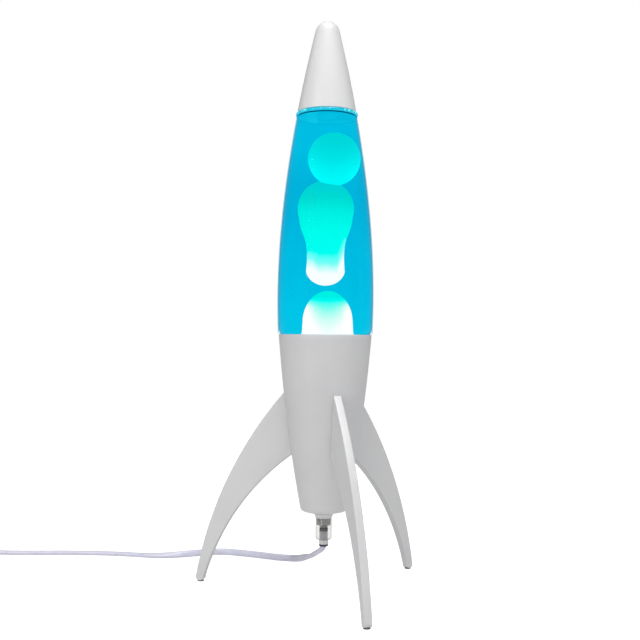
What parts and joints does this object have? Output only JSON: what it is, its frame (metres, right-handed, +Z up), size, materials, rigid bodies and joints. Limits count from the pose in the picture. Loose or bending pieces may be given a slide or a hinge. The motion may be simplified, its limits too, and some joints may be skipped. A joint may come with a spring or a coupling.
{
  "type": "lava lamp",
  "caption": "Rocket-shaped lava lamp on finned legs, with a liquid-filled glass bottle, wax, reflector bulb, lift-off nose cap and mains cord with in-line switch.",
  "frame": {"origin": "on the floor, at the middle of the box round the three feet; the lamp's axis stands at y = 0.0228 m", "axes": "+Z up along the lamp, -Y along the front fin, +X to the right"},
  "size_m": [0.4542, 0.2875, 0.4],
  "materials": {
    "satin_white_paint": "satin white powder coat, fine texture",
    "gloss_white_paint": "gloss white enamel",
    "clear_glass": "clear blown glass",
    "blue_liquid": "clear cyan-blue liquid, lit from below",
    "glowing_wax": "translucent turquoise wax, glowing",
    "bright_steel": "nickel-plated steel",
    "dark_steel": "blackened steel",
    "contact_brass": "plain brass",
    "holder_phenolic": "moulded white thermoset",
    "black_glass": "black glass insulator",
    "black_rubber": "matt black rubber",
    "clear_plastic": "clear moulded plastic",
    "cord_jacket": "white PVC, faint lavender tint",
    "brown_insulation": "brown PVC",
    "blue_insulation": "blue PVC",
    "white_plastic": "moulded white plastic"
  },
  "bodies": {
    "base": {"base_shell": "satin_white_paint", "fin_front": "satin_white_paint", "fin_left": "satin_white_paint", "fin_right": "satin_white_paint", "foot_pad_front": "black_rubber", "foot_pad_left": "black_rubber", "foot_pad_right": "black_rubber", "fin_screw_front_lower": "bright_steel", "fin_screw_front_upper": "bright_steel", "fin_screw_left_lower": "bright_steel", "fin_screw_left_upper": "bright_steel", "fin_screw_right_lower": "bright_steel", "fin_screw_right_upper": "bright_steel", "threaded_nipple": "bright_steel", "hub_collar": "satin_white_paint", "washer_inner": "bright_steel", "holder_washer": "bright_steel", "lock_nut": "bright_steel", "cord_grip": "clear_plastic", "clamp_screw": "dark_steel", "grip_sleeve": "white_plastic", "cord_grommet": "black_rubber", "lamp_holder": "holder_phenolic", "contact_sleeve": "contact_brass", "centre_contact": "contact_brass", "lead_live": "brown_insulation", "lead_neutral": "blue_insulation", "bottle_seat_ring": "bright_steel", "cord_lead": "cord_jacket", "cord_to_coil": "cord_jacket", "cord_coil": "cord_jacket", "cord_tail": "cord_jacket", "cord_tie": "black_rubber", "switch_lower_shell": "white_plastic", "switch_upper_shell": "white_plastic", "rocker_pin": "bright_steel", "switch_screw_a": "bright_steel", "switch_screw_b": "bright_steel", "plug_body": "white_plastic", "plug_pin_a": "bright_steel", "plug_pin_b": "bright_steel", "plug_strain_relief": "white_plastic"},
    "bottle": {"glass_bottle": "clear_glass", "liquid": "blue_liquid", "crown_cap": "bright_steel", "cap_liner": "white_plastic", "wax_mass": "glowing_wax", "wax_coil": "bright_steel"},
    "cap": {"nose_cap": "gloss_white_paint"},
    "wax_column": {"wax_column": "glowing_wax"},
    "wax_ball": {"wax_ball": "glowing_wax"},
    "bulb_tip": {"bulb_contact_tip": "contact_brass"},
    "bulb": {"bulb_insulator": "black_glass", "bulb_screw_shell": "contact_brass", "bulb_envelope": "clear_glass", "bulb_stem": "clear_glass", "bulb_filament": "dark_steel"},
    "rocker": {"switch_rocker": "white_plastic"}
  },
  "joints": [
    {"name": "bottle_lift", "type": "slide", "parent": "base", "child": "bottle", "axis": [0, 0, 1], "range_m": [0, 0.045]},
    {"name": "cap_lift", "type": "slide", "parent": "bottle", "child": "cap", "axis": [0, 0, 1], "range_m": [0, 0.035]},
    {"name": "wax_ball_rise", "type": "slide", "parent": "bottle", "child": "wax_ball", "axis": [-0.2834, 0.1869, 0.9406], "range_m": [0, 0.012], "deforming": ["liquid"]},
    {"name": "wax_column_sink", "type": "slide", "parent": "bottle", "child": "wax_column", "axis": [0, 0, 1], "range_m": [-0.0035, 0], "deforming": ["liquid"]},
    {"name": "bulb_rise", "type": "slide", "parent": "base", "child": "bulb_tip", "axis": [0, 0, 1], "range_m": [0, 0.0086]},
    {"name": "bulb_turn", "type": "hinge", "parent": "bulb_tip", "child": "bulb", "pos_m": [0, 0.02281, 0.1], "axis": [0, 0, 1], "range_deg": [0, 1080]},
    {"name": "switch_rock", "type": "hinge", "parent": "base", "child": "rocker", "pos_m": [-0.2591, 0.19797, 0.0108], "axis": [0.2723, 0.9622, 0], "range_deg": [0, 18]}
  ],
  "couplings": [
    {"joint": "bulb_rise", "follows": "bulb_turn", "m_per_rad": 0.00044882}
  ]
}
